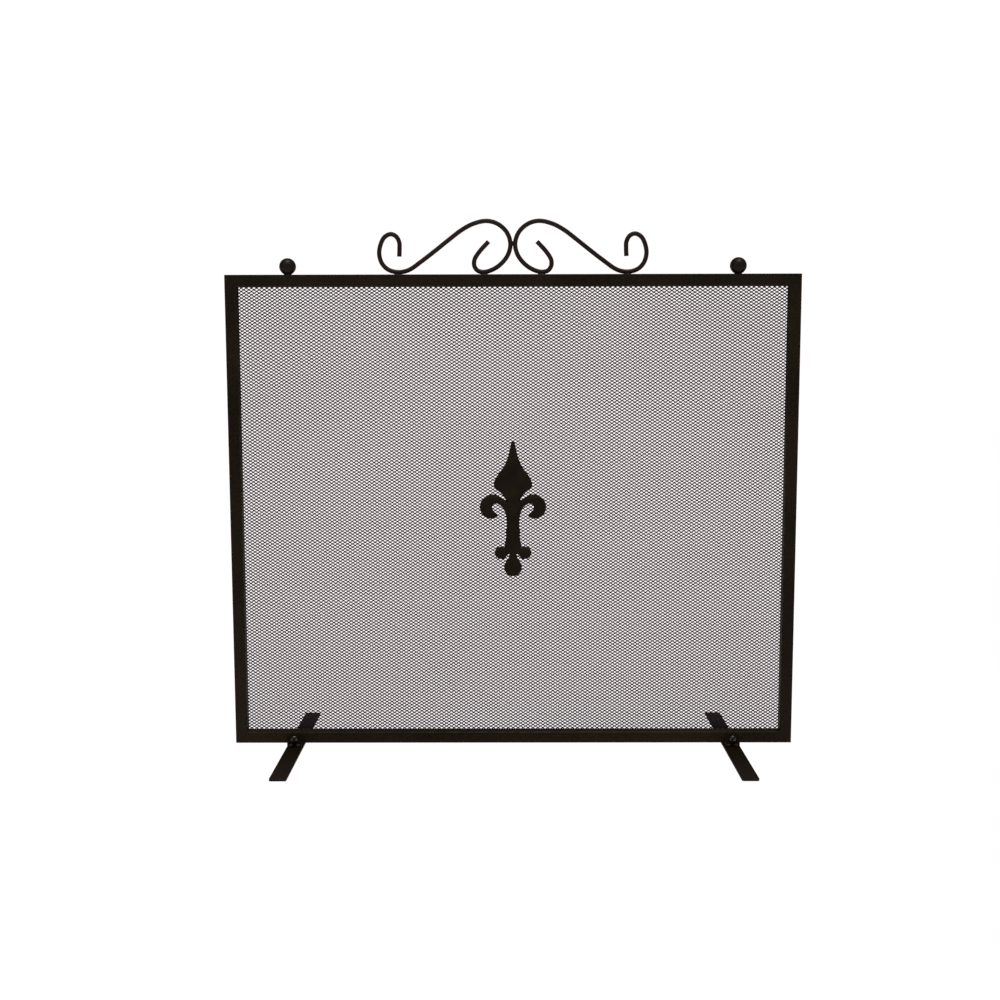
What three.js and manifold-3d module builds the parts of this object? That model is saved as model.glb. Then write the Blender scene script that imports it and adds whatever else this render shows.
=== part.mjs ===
// Fireplace screen: one flat panel of expanded metal behind a square-tube frame, on two flat-bar feet, with
// a cast fleur-de-lis on the mesh and a pair of bent-rod scrolls and two ball finials on the top rail.
// Millimetres. X runs to the right, Y from the room towards the fire, Z up. The origin is on the floor,
// midway between the feet and midway along them, and the frame's rear face is the plane Y = 0.
import * as THREE from "three";
import { mergeVertices } from "three/addons/utils/BufferGeometryUtils.js";
import Module from "manifold-3d";

const wasm = await Module();
wasm.setup();

// ---- driving dimensions ----
const GAP = 0.3; // between pieces that touch or are welded to each other
const FRAME = { width: 762, height: 635, tube: 15.9, wall: 1.2, cornerRadius: 1.5, aboveFloor: 7.9 };
const MESH = { thickness: 0.5, middleY: 0.8, lap: 12 };
const STRIP = { width: 12, thickness: 2, nearY: 1.6 };
const STRIP_SCREW = { shank: 1.5, head: 3.2, headHeight: 1.9, reach: 5, hole: 1.8 };
const ROD = { radius: 3, sides: 8, steps: 84 };
const BALL = { radius: 11.1, centreAboveRail: 10.8, x: 298 };
const FINIAL_PIN = { radius: 2.5, neck: 5.2, foot: 5.6, flare: 0.3, intoBall: 8, intoRail: 7 };
const EMBLEM = { thickness: 7, bottom: 237.4, bevel: 1.1 };
const EMBLEM_SCREW = { radius: 2, head: 3.8, headHeight: 2.4, depth: 4.4, hole: 2.3, heights: [60, 118] };
const WASHER = { radius: 10, thickness: 1.5 };
const FOOT = { x: 300, length: 304.8, width: 22.2, thickness: 3.2, cornerRadius: 2.5 };
const TAB = { width: 20, height: 18.4, thickness: 3, cornerRadius: 6, bore: 2.8 };
const FOOT_SCREW = { radius: 2.5, head: 4.75, headHeight: 2.8, length: 12, height: 14.9 };
const INSERT = { radius: 3.5, flange: 4.6, flangeThickness: 0.8, bore: 2.8, length: 9 };

// One scroll rod's centre line, from its outer hook to its inner hook: [distance from the middle, height
// above the top rail]. The rod rests on the rail at two places and on its mirror image at one.
const SCROLL_BENDS = [
  [150, 23.6], [149.6, 33.2], [149.9, 42.2], [154, 49.8], [161, 52.8], [169, 49.2], [174.4, 39.7],
  [176.5, 27], [173, 14.8], [164.7, 6.6], [151.7, 3.3], [138, 5.9], [119.4, 18.3], [99.5, 33.4],
  [84.5, 45.2], [66.6, 58.5], [50.9, 66.4], [34.1, 69.6], [19.5, 65.5], [7.8, 54.7], [3.15, 40.4],
  [6, 26.5], [14.5, 14.8], [25.4, 7], [38, 3.3], [46.6, 5.2], [50.8, 11.2], [50.6, 19.2],
  [44.5, 29.2], [31.9, 42.9],
];

// ---- derived sizes ----
const railBottom = FRAME.aboveFloor;
const railTop = railBottom + FRAME.height;
const halfTube = FRAME.tube / 2;
const frontY = -FRAME.tube;
const middleY = -halfTube;
const meshFront = MESH.middleY - MESH.thickness / 2;
const stripFar = STRIP.nearY + STRIP.thickness;
const stripLine = { x: FRAME.width / 2 - halfTube, low: railBottom + halfTube, high: railTop - halfTube };

// ---- materials ----
function paint(color, roughness, metalness) {
  return new THREE.MeshStandardMaterial({ color, roughness, metalness });
}
const framePaint = paint(0x211b16, 0.55, 0.3);
const meshPaint = paint(0x2c2522, 0.6, 0.3);
const castPaint = paint(0x1a1610, 0.6, 0.3);
const screwSteel = paint(0x2a2826, 0.3, 0.8);

// ---- helpers ----
const screen = new THREE.Group();

// Adds one named piece to the screen.
function piece(name, geometry, material) {
  const mesh = new THREE.Mesh(geometry, material);
  mesh.name = name;
  screen.add(mesh);
  return mesh;
}

// A closed geometry as a manifold solid.
function solid(geometry) {
  const bare = new THREE.BufferGeometry();
  bare.setAttribute("position", geometry.getAttribute("position"));
  bare.setIndex(geometry.getIndex());
  const merged = mergeVertices(bare, 1e-4);
  const vertProperties = merged.attributes.position.array;
  const triVerts = new Uint32Array(merged.index.array);
  return new wasm.Manifold(new wasm.Mesh({ numProp: 3, vertProperties, triVerts }));
}

// The geometry with each of the cutters taken away from it.
function cut(geometry, cutters) {
  const made = cutters.reduce((body, cutter) => body.subtract(solid(cutter)), solid(geometry)).getMesh();
  const result = new THREE.BufferGeometry();
  result.setAttribute("position", new THREE.BufferAttribute(made.vertProperties, 3));
  result.setIndex(new THREE.BufferAttribute(made.triVerts, 1));
  return result;
}

// A drill: a round bar from one point to another.
function drill(radius, start, end, sides = 12) {
  const from = new THREE.Vector3(...start);
  const to = new THREE.Vector3(...end);
  const along = to.clone().sub(from);
  const bar = new THREE.CylinderGeometry(radius, radius, along.length(), sides);
  const upright = new THREE.Vector3(0, 1, 0);
  bar.applyQuaternion(new THREE.Quaternion().setFromUnitVectors(upright, along.normalize()));
  const middle = from.add(to).multiplyScalar(0.5);
  return bar.translate(middle.x, middle.y, middle.z);
}

// A solid of revolution about Y from [radius, y] pairs, bottom first.
function turned(profile, sides = 12) {
  return new THREE.LatheGeometry(profile.map(([r, y]) => new THREE.Vector2(r, y)), sides);
}

// A rectangle with rounded corners, centred on x, y. The radii go round from the low left corner.
function roundedRectangle(x, y, width, height, radii) {
  const [lowLeft, lowRight, highRight, highLeft] = radii;
  const [left, right, low, high] = [x - width / 2, x + width / 2, y - height / 2, y + height / 2];
  const shape = new THREE.Shape();
  shape.moveTo(left + lowLeft, low);
  shape.lineTo(right - lowRight, low);
  if (lowRight) shape.absarc(right - lowRight, low + lowRight, lowRight, -Math.PI / 2, 0);
  shape.lineTo(right, high - highRight);
  if (highRight) shape.absarc(right - highRight, high - highRight, highRight, 0, Math.PI / 2);
  shape.lineTo(left + highLeft, high);
  if (highLeft) shape.absarc(left + highLeft, high - highLeft, highLeft, Math.PI / 2, Math.PI);
  shape.lineTo(left, low + lowLeft);
  if (lowLeft) shape.absarc(left + lowLeft, low + lowLeft, lowLeft, Math.PI, Math.PI * 1.5);
  return shape;
}

function roundHole(x, y, radius) {
  return new THREE.Path().absarc(x, y, radius, 0, Math.PI * 2, true);
}

// A plate parallel to the screen: an outline drawn in X and Z, from nearY towards the fire.
function uprightPlate(shape, nearY, thickness, curveSegments = 6) {
  const plate = new THREE.ExtrudeGeometry(shape, { depth: thickness, bevelEnabled: false, curveSegments });
  return plate.rotateX(Math.PI / 2).translate(0, nearY + thickness, 0);
}

// ---- frame: four mitred square tubes ----
// start is the outer corner where the tube begins, along is its direction, and outward points away from
// the opening.
function mitredTube(start, along, outward, length) {
  const section = roundedRectangle(0, 0, FRAME.tube, FRAME.tube, Array(4).fill(FRAME.cornerRadius));
  const bore = FRAME.tube - 2 * FRAME.wall;
  section.holes.push(roundedRectangle(0, 0, bore, bore, [0, 0, 0, 0]));
  const tube = new THREE.ExtrudeGeometry(section, { depth: length, bevelEnabled: false, curveSegments: 2 });
  const position = tube.attributes.position;
  for (let i = 0; i < position.count; i++) {
    const inset = halfTube - position.getX(i) + GAP / 2;
    position.setZ(i, position.getZ(i) < length / 2 ? inset : length - inset);
  }
  const side = along.clone().cross(outward);
  const centre = start.clone().addScaledVector(outward, -halfTube);
  return tube.applyMatrix4(new THREE.Matrix4().makeBasis(outward, side, along).setPosition(centre));
}

const stripScrewXs = [-300, -150, 0, 150, 300];
const stripScrewZs = [0.125, 0.375, 0.625, 0.875].map((part) => railBottom + FRAME.height * part);

function rearWallHole(x, z) {
  return drill(STRIP_SCREW.hole, [x, -FRAME.wall - 1, z], [x, 1, z], 8);
}

function frame() {
  const right = new THREE.Vector3(1, 0, 0);
  const up = new THREE.Vector3(0, 0, 1);
  const left = right.clone().negate();
  const down = up.clone().negate();
  const halfWidth = FRAME.width / 2;
  const topLeft = new THREE.Vector3(-halfWidth, middleY, railTop);
  const bottomLeft = new THREE.Vector3(-halfWidth, middleY, railBottom);
  const bottomRight = new THREE.Vector3(halfWidth, middleY, railBottom);

  const finialHole = (x) =>
    drill(FINIAL_PIN.radius + GAP, [x, middleY, railTop - FRAME.wall - 1], [x, middleY, railTop + 1]);
  const insertHole = (x, z) =>
    drill(INSERT.radius + GAP, [x, frontY - 1, z], [x, frontY + FRAME.wall + 1, z]);
  const finialHoles = [-BALL.x, BALL.x].map(finialHole);
  const insertHoles = [-FOOT.x, FOOT.x].map((x) => insertHole(x, FOOT_SCREW.height));
  const screwHoles = (z) => stripScrewXs.map((x) => rearWallHole(x, z));
  const sideHoles = (x) => stripScrewZs.map((z) => rearWallHole(x, z));

  const topTube = mitredTube(topLeft, right, up, FRAME.width);
  const bottomTube = mitredTube(bottomLeft, right, down, FRAME.width);
  const leftTube = mitredTube(bottomLeft, up, left, FRAME.height);
  const rightTube = mitredTube(bottomRight, up, right, FRAME.height);
  piece("top_rail", cut(topTube, [...finialHoles, ...screwHoles(stripLine.high)]), framePaint);
  piece("bottom_rail", cut(bottomTube, [...insertHoles, ...screwHoles(stripLine.low)]), framePaint);
  piece("left_stile", cut(leftTube, sideHoles(-stripLine.x)), framePaint);
  piece("right_stile", cut(rightTube, sideHoles(stripLine.x)), framePaint);
}

// ---- mesh panel, and the flat strips and screws that hold its edges to the back of the frame ----
function eachStripScrew(visit) {
  stripScrewXs.forEach((x, i) => visit(`top_${i + 1}`, x, stripLine.high));
  stripScrewXs.forEach((x, i) => visit(`bottom_${i + 1}`, x, stripLine.low));
  stripScrewZs.forEach((z, i) => visit(`left_${i + 1}`, -stripLine.x, z));
  stripScrewZs.forEach((z, i) => visit(`right_${i + 1}`, stripLine.x, z));
}

function meshPanel() {
  const inset = FRAME.tube - MESH.lap;
  const width = FRAME.width - 2 * inset;
  const height = FRAME.height - 2 * inset;
  const sheet = roundedRectangle(0, railBottom + FRAME.height / 2, width, height, [0, 0, 0, 0]);
  eachStripScrew((_, x, z) => sheet.holes.push(roundHole(x, z, STRIP_SCREW.hole)));
  for (const rise of EMBLEM_SCREW.heights) {
    sheet.holes.push(roundHole(0, EMBLEM.bottom + rise, EMBLEM_SCREW.hole));
  }
  piece("mesh_panel", uprightPlate(sheet, meshFront, MESH.thickness, 4), meshPaint);
}

function strip(name, x, z, width, height) {
  const shape = roundedRectangle(x, z, width, height, [1, 1, 1, 1]);
  eachStripScrew((_, holeX, holeZ) => {
    const inside = Math.abs(holeX - x) < width / 2 && Math.abs(holeZ - z) < height / 2;
    if (inside) shape.holes.push(roundHole(holeX, holeZ, STRIP_SCREW.hole));
  });
  piece(name, uprightPlate(shape, STRIP.nearY, STRIP.thickness, 4), framePaint);
}

function retainingStrips() {
  const long = FRAME.width - (FRAME.tube - STRIP.width);
  const short = FRAME.height - FRAME.tube - STRIP.width - 2;
  const middle = railBottom + FRAME.height / 2;
  strip("strip_top", 0, stripLine.high, long, STRIP.width);
  strip("strip_bottom", 0, stripLine.low, long, STRIP.width);
  strip("strip_left", -stripLine.x, middle, STRIP.width, short);
  strip("strip_right", stripLine.x, middle, STRIP.width, short);
}

function stripScrews() {
  const { shank, head, headHeight, reach } = STRIP_SCREW;
  const under = stripFar + GAP;
  const profile = [
    [0, -reach], [shank, 1.5 - reach], [shank, under], [head, under],
    [head * 0.92, under + headHeight * 0.6], [head * 0.6, under + headHeight], [0, under + headHeight],
  ];
  eachStripScrew((place, x, z) => {
    piece(`strip_screw_${place}`, turned(profile, 8), screwSteel).position.set(x, 0, z);
  });
}

// ---- scrolls: two mirrored rods ----
function scrolls() {
  const bends = SCROLL_BENDS.map(([x, height]) => new THREE.Vector3(x, middleY, railTop + height));
  const centreLine = new THREE.CatmullRomCurve3(bends, false, "centripetal");
  const section = new THREE.Shape().absarc(0, 0, ROD.radius, 0, Math.PI * 2);
  const options = { extrudePath: centreLine, steps: ROD.steps, curveSegments: ROD.sides / 2 };
  const rod = new THREE.ExtrudeGeometry(section, options);
  piece("scroll_right", rod, framePaint);
  piece("scroll_left", rod, framePaint).scale.x = -1;
}

// ---- ball finials on their pins ----
function finials() {
  const { radius, neck, foot, flare, intoBall, intoRail } = FINIAL_PIN;
  const centre = railTop + BALL.centreAboveRail;
  const flat = Math.sqrt(BALL.radius ** 2 - neck ** 2);
  const boreRadius = radius + GAP;
  const boreTop = -flat + intoBall + GAP;
  const sphere = [];
  const start = Math.asin(neck / BALL.radius);
  const rings = 9;
  for (let i = 0; i <= rings; i++) {
    const angle = start + ((Math.PI - start) * i) / rings;
    sphere.push([i === rings ? 0 : BALL.radius * Math.sin(angle), -BALL.radius * Math.cos(angle)]);
  }
  const ball = [[0, boreTop], [boreRadius, boreTop], [boreRadius, -flat], ...sphere];
  const base = -BALL.centreAboveRail + GAP;
  const neckTop = -flat - GAP;
  const pin = [
    [0, base - intoRail], [radius, base - intoRail], [radius, base], [foot, base], [neck, base + flare],
    [neck, neckTop], [radius, neckTop], [radius, boreTop - GAP], [0, boreTop - GAP],
  ];
  for (const [side, x] of [["left", -BALL.x], ["right", BALL.x]]) {
    for (const [name, profile, sides] of [["ball_finial", ball, 20], ["finial_pin", pin, 12]]) {
      const part = piece(`${name}_${side}`, turned(profile, sides), framePaint);
      part.rotation.x = Math.PI / 2;
      part.position.set(x, middleY, centre);
    }
  }
}

// ---- fleur-de-lis ----
function arcPoints(x, y, radius, fromDegrees, toDegrees, steps) {
  const [from, to] = [fromDegrees, toDegrees].map(THREE.MathUtils.degToRad);
  return new THREE.EllipseCurve(x, y, radius, radius, from, to).getPoints(steps);
}

function curvePoints(pairs, steps) {
  return new THREE.SplineCurve(pairs.map(([x, y]) => new THREE.Vector2(x, y))).getPoints(steps);
}

// The right half of the outline, from the bottom of the drop to the tip: [distance from the middle, height
// above the emblem's bottom].
function emblemHalf() {
  const notch = [4.8, 31.6];
  const armpit = [8.8, 102.4];
  const drop = arcPoints(0, 12.1, 12.1, -90, 40, 8);
  const dropNeck = curvePoints([[7.2, 23], [5.3, 27], notch], 3);
  const lobe = arcPoints(16.4, 32.1, 8.5, -140, 122, 12);
  const stemSide = [[10.8, 45.6], [9.4, 54], [8.5, 66], [8.8, 77.4], [10.6, 87], [14.2, 94.3], [19, 98.5]];
  const stem = curvePoints(stemSide, 12);
  const insideCurl = [[21.6, 99.6], [25.4, 99.3], [27.9, 96.3], [27.6, 91.5], [24.4, 87.6], [20.8, 84.1]];
  const hollow = curvePoints(insideCurl, 7);
  const curlLow = [[20.6, 82.3], [24, 79.9], [32.4, 79.4], [40.4, 83.3]];
  const curlSide = [[44.7, 91.9], [43.6, 101.5], [37.4, 109.1]];
  const curl = curvePoints([...curlLow, ...curlSide], 12);
  const shoulder = curvePoints([[34.6, 110.9], [28, 112.2], [20, 109.8], [13.8, 106.1], armpit], 7);
  const spearLow = curvePoints([[12.2, 109.4], [17, 114.6], [22.6, 118.5], [25.3, 121.2]], 4);
  const spearSide = [[26, 126], [23.7, 133.6], [18.6, 141.2], [11.5, 151.4], [6.8, 163], [3.8, 175]];
  const spear = curvePoints(spearSide, 12);
  const tip = curvePoints([[2.9, 180.4], [1.8, 182.6], [0, 183.2]], 2);
  return [drop, dropNeck, lobe, stem, hollow, curl, shoulder, spearLow, spear, tip].flat();
}

function emblem() {
  const { thickness, bottom, bevel } = EMBLEM;
  const right = emblemHalf();
  const left = right.slice(1, -1).reverse().map((point) => new THREE.Vector2(-point.x, point.y));
  const outline = new THREE.Shape([...right, ...left]);
  const options = {
    depth: thickness - 2 * bevel,
    bevelThickness: bevel,
    bevelSize: bevel,
    bevelOffset: -bevel,
    bevelSegments: 1,
  };
  const casting = new THREE.ExtrudeGeometry(outline, options);
  const backY = meshFront - GAP;
  casting.rotateX(Math.PI / 2).translate(0, backY - bevel, bottom);
  const { radius, head, headHeight, depth, hole, heights } = EMBLEM_SCREW;
  const zs = heights.map((height) => bottom + height);
  const tapped = zs.map((z) => drill(hole, [0, backY - depth - GAP, z], [0, backY + 1, z]));
  piece("fleur_de_lis", cut(casting, tapped), castPaint);

  const washerNear = meshFront + MESH.thickness + GAP;
  const washerFar = washerNear + WASHER.thickness;
  const under = washerFar + GAP;
  const { radius: rim } = WASHER;
  const ring = [[hole, washerNear], [rim, washerNear], [rim, washerFar], [hole, washerFar]];
  const screw = [
    [0, backY - depth], [radius, backY - depth], [radius, under], [head, under],
    [head * 0.92, under + headHeight * 0.6], [head * 0.6, under + headHeight], [0, under + headHeight],
  ];
  ["lower", "upper"].forEach((place, i) => {
    piece(`emblem_washer_${place}`, turned([...ring, ring[0]], 16), screwSteel).position.z = zs[i];
    piece(`emblem_screw_${place}`, turned(screw, 12), screwSteel).position.z = zs[i];
  });
}

// ---- feet: a flat bar, its upright tab, and the screw and insert that hold the tab to the rail ----
function foot(side, x) {
  const { length, width, thickness, cornerRadius } = FOOT;
  const plan = roundedRectangle(0, 0, width, length, Array(4).fill(cornerRadius));
  const bar = new THREE.ExtrudeGeometry(plan, { depth: thickness, bevelEnabled: false, curveSegments: 3 });
  piece(`foot_bar_${side}`, bar, framePaint).position.x = x;

  const flangeNear = frontY - GAP - INSERT.flangeThickness;
  const tabBack = flangeNear - GAP;
  const tabLow = thickness + GAP;
  const round = TAB.cornerRadius;
  const face = roundedRectangle(0, tabLow + TAB.height / 2, TAB.width, TAB.height, [0, 0, round, round]);
  face.holes.push(roundHole(0, FOOT_SCREW.height, TAB.bore));
  const tab = uprightPlate(face, tabBack - TAB.thickness, TAB.thickness);
  piece(`foot_tab_${side}`, tab, framePaint).position.x = x;

  const under = tabBack - TAB.thickness - GAP;
  const { radius, head, headHeight, length: shankLength } = FOOT_SCREW;
  const dome = [1, 0.96, 0.8, 0.5].map((part) => [head * part, headHeight * Math.sqrt(1 - part * part)]);
  const screw = [[0, -shankLength], [radius, -shankLength], [radius, 0], ...dome, [0, headHeight]];
  const bolt = piece(`foot_screw_${side}`, turned(screw, 14), screwSteel);
  bolt.rotation.z = Math.PI;
  bolt.position.set(x, under, FOOT_SCREW.height);

  const { radius: body, flange, bore, length: insertLength } = INSERT;
  const shoulderY = frontY - GAP;
  const sleeve = [
    [bore, flangeNear], [flange, flangeNear], [flange, shoulderY], [body, shoulderY],
    [body, shoulderY + insertLength], [bore, shoulderY + insertLength], [bore, flangeNear],
  ];
  piece(`foot_insert_${side}`, turned(sleeve, 12), screwSteel).position.set(x, 0, FOOT_SCREW.height);
}

frame();
meshPanel();
retainingStrips();
stripScrews();
scrolls();
finials();
emblem();
foot("left", -FOOT.x);
foot("right", FOOT.x);

export default screen;
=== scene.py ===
"""Fireplace screen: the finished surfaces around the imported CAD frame, with its studio and camera.

Metres, in the frame of the part: X to the right, Y from the room towards the fire, Z up, floor at Z = 0.
"""

import math

import bmesh
import bpy
import numpy as np
from mathutils import Matrix, Vector, geometry, noise


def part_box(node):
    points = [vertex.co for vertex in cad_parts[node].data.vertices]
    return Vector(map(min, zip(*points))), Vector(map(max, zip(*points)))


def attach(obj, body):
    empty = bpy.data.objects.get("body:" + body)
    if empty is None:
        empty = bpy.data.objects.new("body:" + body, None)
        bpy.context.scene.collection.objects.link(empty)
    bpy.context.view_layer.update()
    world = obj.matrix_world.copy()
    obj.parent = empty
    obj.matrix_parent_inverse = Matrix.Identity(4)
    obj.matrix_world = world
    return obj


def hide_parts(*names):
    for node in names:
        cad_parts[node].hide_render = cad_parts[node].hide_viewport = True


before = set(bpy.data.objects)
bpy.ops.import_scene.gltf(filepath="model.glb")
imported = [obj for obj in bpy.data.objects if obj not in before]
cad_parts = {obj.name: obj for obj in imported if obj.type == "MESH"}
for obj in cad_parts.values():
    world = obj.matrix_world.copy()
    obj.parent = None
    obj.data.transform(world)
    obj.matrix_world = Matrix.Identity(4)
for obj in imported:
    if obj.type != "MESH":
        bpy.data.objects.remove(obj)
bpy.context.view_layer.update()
noise.seed_set(1)  # noise_vector moves with this seed, which Blender would take from the clock

MM = 0.001

# ---- camera, fitted to the outline of the screen ----
CAMERA = {
    "place": (-0.0099, -1.7114, 0.5333),
    "pitch": 0.1115,
    "yaw": 0.0045,
    "roll": -0.0021,
    "lens": 45.72,
}

# ---- the overexposed studio behind and under the screen: white, a little warm ----
BACKDROP = {"colour": (1.0, 0.94, 0.955, 1), "glow": 1.07}
FLOOR_REACH = 8.0

# ---- lights: a wide sun above, and area lights (width, height) aimed at the middle of the screen ----
FILL = 0.2
SUN = {"place": (0.2, -0.6, 2.5), "strength": 2.4, "angle": 26}
AREA_LIGHTS = {
    "overhead_strip": {"place": (0, -0.9, 2.1), "power": 7, "size": (3.0, 0.4)},
    "softbox_left": {"place": (-1.3, -1.5, 1.7), "power": 5, "size": (0.5, 0.9)},
    "softbox_right": {"place": (1.3, -1.5, 1.7), "power": 2, "size": (0.5, 0.9)},
}
AREA_LIGHT_TARGET = (0, 0, 0.35)

# ---- sizes of what the CAD solids leave out ----
CORNER = {"radius": 1.5 * MM, "steps": 5}
SEAM = {"chamfer": 0.14 * MM, "length": 0.4 * MM}
ROD = {"radius": 3 * MM, "sides": 28, "steps_per_bend": 9, "end_round": 0.5 * MM}
LATTICE = {
    "long": 6.83 * MM,
    "short": 4.36 * MM,
    "opening": (4.55 * MM, 2.19 * MM),
    "flat": 0.95 * MM,
    "thickness": 0.5 * MM,
    "twist": 0.06,
    "tiles": (3, 2),
}
EMBLEM = {"wall": 3.0 * MM, "height": 7.0 * MM}
HEX_SOCKET = {"across_flats": 4.0 * MM, "depth": 2.1 * MM}
FOOT = {"edge": 0.45 * MM, "corner": 2.5 * MM}
TAB = {"top_corner": 6 * MM, "bottom_corner": 0.2 * MM, "sunk": 0.05 * MM}
STRIP = {"edge": 0.35 * MM, "corner": 1 * MM}
WASHER_EDGE = 0.3 * MM
INSERT_EDGE = 0.2 * MM
SEAT = 0.02 * MM  # how far a screw head's underside stays above what it clamps

# ---- weld beads: how thick, how far they reach to each side of their middle, and where they lie ----
WELD = {
    "corner": {"radius": 1.1 * MM, "from_edge": 2.2 * MM},
    "rest": {"radius": 1.0 * MM, "reach": 4.8 * MM, "beside": 1.7 * MM, "above": 0.45 * MM},
    "meeting": {"radius": 0.95 * MM, "reach": 3.0 * MM, "beside": 1.5 * MM},
    "foot_front": {
        "radius": 2.6 * MM, "reach": 2.9 * MM, "apart": 5.2 * MM, "above": 2.3 * MM, "sunk": 0.3 * MM,
    },
    "foot_rear": {"radius": 1.1 * MM, "from_edge": 2 * MM, "above": 0.3 * MM},
}


def unit(vectors):
    return vectors / np.linalg.norm(vectors, axis=-1, keepdims=True)


# ---------------------------------------------------------------- making meshes


class Skin:
    """The points and faces of one piece while it is made, and how rubbed each point is, from 0 to 1."""

    def __init__(self):
        self.points = []
        self.worn = []
        self.faces = []

    def ring(self, points, worn=0.0):
        """Adds points, and gives back their numbers."""
        start = len(self.points)
        self.points.extend(tuple(map(float, point)) for point in points)
        self.worn.extend(worn if hasattr(worn, "__len__") else [worn] * len(points))
        return list(range(start, len(self.points)))

    def bridge(self, first, second):
        """Faces between two closed rings with as many points each."""
        for i in range(len(first)):
            j = (i + 1) % len(first)
            self.faces.append((first[i], first[j], second[j], second[i]))

    def loft(self, rings):
        """Faces over a row of rings, each one (points, worn), closed at both ends."""
        numbers = [self.ring(points, worn) for points, worn in rings]
        for first, second in zip(numbers, numbers[1:]):
            self.bridge(first, second)
        self.faces.append(tuple(reversed(numbers[0])))
        self.faces.append(tuple(numbers[-1]))


def piece(name, skin, material, replaced=(), sharp_degrees=50, tidy_normals=True):
    """A finished piece in the scene, on the part's one body."""
    mesh = bpy.data.meshes.new(name)
    mesh.from_pydata(skin.points, [], skin.faces)
    if tidy_normals:
        bm = bmesh.new()
        bm.from_mesh(mesh)
        bmesh.ops.recalc_face_normals(bm, faces=bm.faces)
        bm.to_mesh(mesh)
        bm.free()
    worn = mesh.attributes.new("worn", "FLOAT", "POINT")
    worn.data.foreach_set("value", np.array(skin.worn, np.float32))
    mesh.polygons.foreach_set("use_smooth", [True] * len(mesh.polygons))
    mesh.set_sharp_from_angle(angle=math.radians(sharp_degrees))
    mesh.materials.append(material)
    made = bpy.data.objects.new(name, mesh)
    bpy.context.scene.collection.objects.link(made)
    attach(made, "root")
    if replaced:
        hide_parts(*replaced)


def circle(radius, sides):
    angles = np.arange(sides) * 2 * np.pi / sides
    return np.stack([np.cos(angles), np.sin(angles)], 1) * radius


def turned(profile, centre, axis, sides, worn):
    """Rings of a solid of revolution: profile is (radius, height) along axis, bottom first.

    worn says how rubbed each ring is.
    """
    turn = Vector((0, 0, 1)).rotation_difference(Vector(axis)).to_matrix()
    rings = []
    for (radius, height), rubbed in zip(profile, worn):
        flat = circle(max(radius, 1e-6), sides)
        ring = [Vector(centre) + turn @ Vector((x, y, height)) for x, y in flat]
        rings.append((ring, rubbed))
    return rings


def inset(outline, distance):
    """A closed outline, drawn anticlockwise, moved inwards."""
    before = unit(outline - np.roll(outline, 1, 0))
    after = unit(np.roll(outline, -1, 0) - outline)
    first = np.stack([-before[:, 1], before[:, 0]], 1)
    second = np.stack([-after[:, 1], after[:, 0]], 1)
    share = 1 + (first * second).sum(1, keepdims=True)
    return outline + (first + second) / share * distance


def rounded_rectangle(centre, size, radii, steps):
    """Anticlockwise from the low left corner, with one radius for each corner."""
    half = np.array(size) / 2
    corners = [(-1, -1, 180), (1, -1, 270), (1, 1, 0), (-1, 1, 90)]
    points = []
    for (sx, sy, start), radius in zip(corners, radii):
        pivot = np.array(centre) + np.array((sx, sy)) * (half - radius)
        for angle in np.radians(np.linspace(start, start + 90, steps + 1)):
            points.append(pivot + radius * np.array((math.cos(angle), math.sin(angle))))
    return np.array(points)


def slab(outline, low, high, edge, place):
    """Rings of a plate whose edges are rounded: place turns (u, v, height) into (x, y, z)."""
    steps = 3
    rings = []
    for side in (-1, 1):
        for i in range(steps + 1):
            share = i / steps if side < 0 else 1 - i / steps
            angle = share * math.pi / 2
            rise = edge * (1 - math.cos(angle))
            height = low + rise if side < 0 else high - rise
            flat = inset(outline, edge * (1 - math.sin(angle)))
            rings.append(([place(u, v, height) for u, v in flat], math.sin(2 * angle)))
    return rings


def bead(start, end, radius, ripples, seed):
    """Rings of a short weld bead that swells and shrinks as the puddles of the weld did.

    seed makes its lumps different from those of the other beads.
    """
    steps, sides = 26, 14
    start, end = Vector(start), Vector(end)
    along = (end - start).normalized()
    side = along.orthogonal().normalized()
    across = along.cross(side)
    rings = []
    for i in range(steps + 1):
        t = i / steps
        taper = max(1 - (2 * t - 1) ** 4, 0.0) ** 0.5
        puddle = 1 + 0.09 * math.cos(2 * math.pi * ripples * t)
        swell = radius * max(taper * puddle, 0.02)
        centre = start.lerp(end, t)
        wander = noise.noise_vector(Vector((seed, t * 2.3, 0))) * radius * 0.12
        ring = []
        for x, y in circle(swell, sides):
            rough = 1 + 0.05 * noise.noise(Vector((x, y, t * 0.02)) * 900 + Vector((seed, 0, 0)))
            ring.append(centre + wander + (side * x + across * y) * rough)
        rings.append((ring, 0.15 * taper))
    return rings


# ---------------------------------------------------------------- materials


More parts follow.
